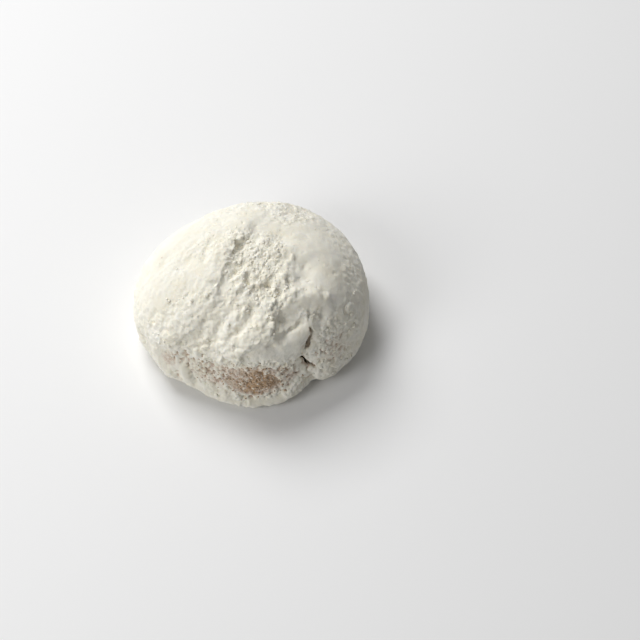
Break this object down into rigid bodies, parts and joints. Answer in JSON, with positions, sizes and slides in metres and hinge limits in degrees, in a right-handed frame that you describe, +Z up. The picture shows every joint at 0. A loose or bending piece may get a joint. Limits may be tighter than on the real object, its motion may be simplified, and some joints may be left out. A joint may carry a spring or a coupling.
{
  "type": "kourabies biscuit",
  "caption": "Domed shortbread biscuit with a flat base and folded rim, in a thick crumbly coat of icing sugar that leaves the front bare.",
  "frame": {"origin": "centre of the flat base, on the surface the biscuit lies on", "axes": "+Z up through the dome, -Y towards the bare front, +X along the biscuit's longest way across"},
  "size_m": [0.0558, 0.0536, 0.0272],
  "materials": {
    "baked_dough": "matte, grainy baked shortbread",
    "icing_sugar": "matte, powdery icing sugar, lumpy and cracked"
  },
  "bodies": {
    "root": {"biscuit": "baked_dough", "sugar_coat": "icing_sugar"}
  },
  "joints": []
}
